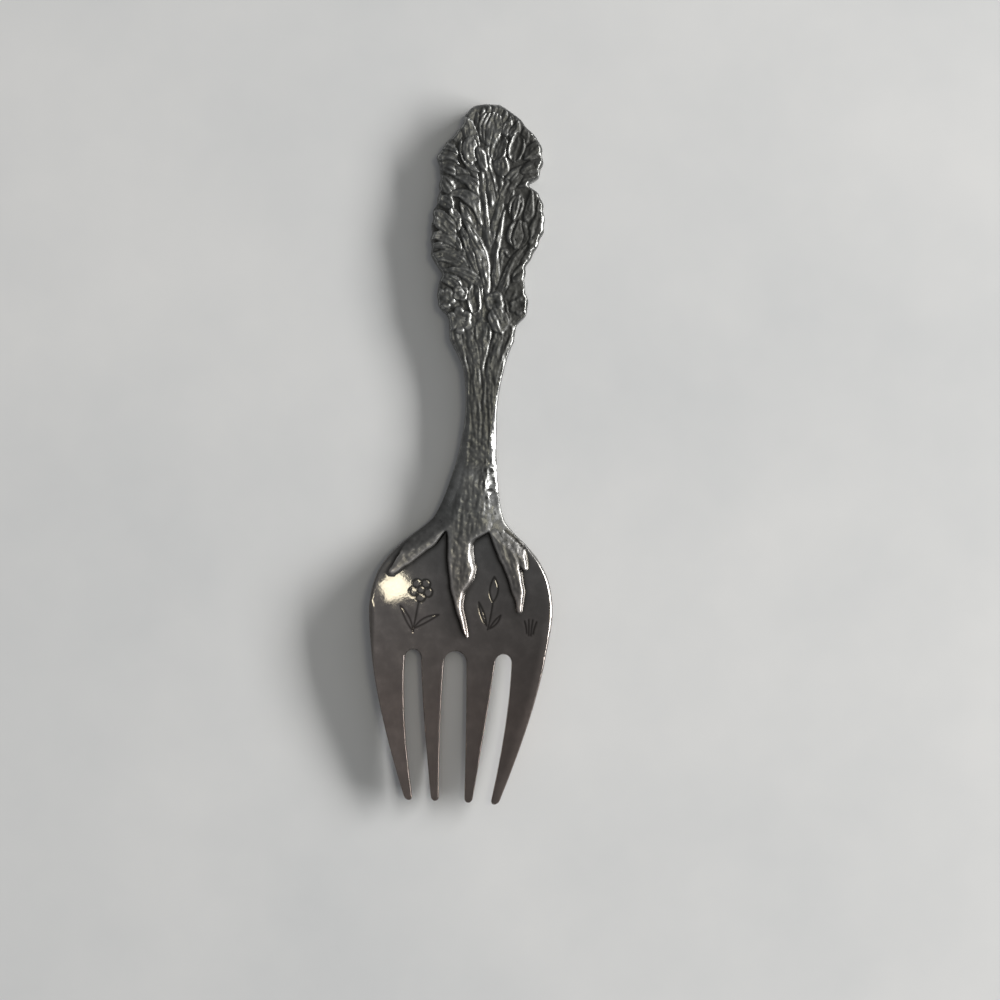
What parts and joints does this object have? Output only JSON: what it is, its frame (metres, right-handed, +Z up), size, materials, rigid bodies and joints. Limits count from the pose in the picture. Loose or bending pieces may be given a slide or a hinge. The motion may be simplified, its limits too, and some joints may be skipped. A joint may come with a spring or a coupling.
{
  "type": "baby fork",
  "caption": "Short cast metal fork for a small child: dished head with tapered tines, trunk-shaped shank with roots over the head, scalloped handle with floral relief.",
  "frame": {"origin": "middle of the fork's box at the level of the surface that it lies on", "axes": "+Y along the fork to the handle end, +Z up out of the front, +X to the right seen from the front"},
  "size_m": [0.0298, 0.114, 0.0043],
  "materials": {
    "smooth_pewter": "satin",
    "carved_pewter": "dark antiqued",
    "raised_pewter": "antiqued, worn bright on the ridges"
  },
  "bodies": {
    "root": {"head": "smooth_pewter", "tine_1": "smooth_pewter", "tine_2": "smooth_pewter", "tine_3": "smooth_pewter", "tine_4": "smooth_pewter", "shank": "carved_pewter", "handle_plate": "carved_pewter", "root_left": "raised_pewter", "root_centre": "raised_pewter", "root_right_inner": "raised_pewter", "root_right_outer": "raised_pewter", "stems": "raised_pewter", "left_leaves": "raised_pewter", "right_leaves": "raised_pewter", "crown_blossoms": "raised_pewter", "left_blossoms": "raised_pewter", "right_blossoms": "raised_pewter", "collar_blossoms": "raised_pewter"}
  },
  "joints": []
}
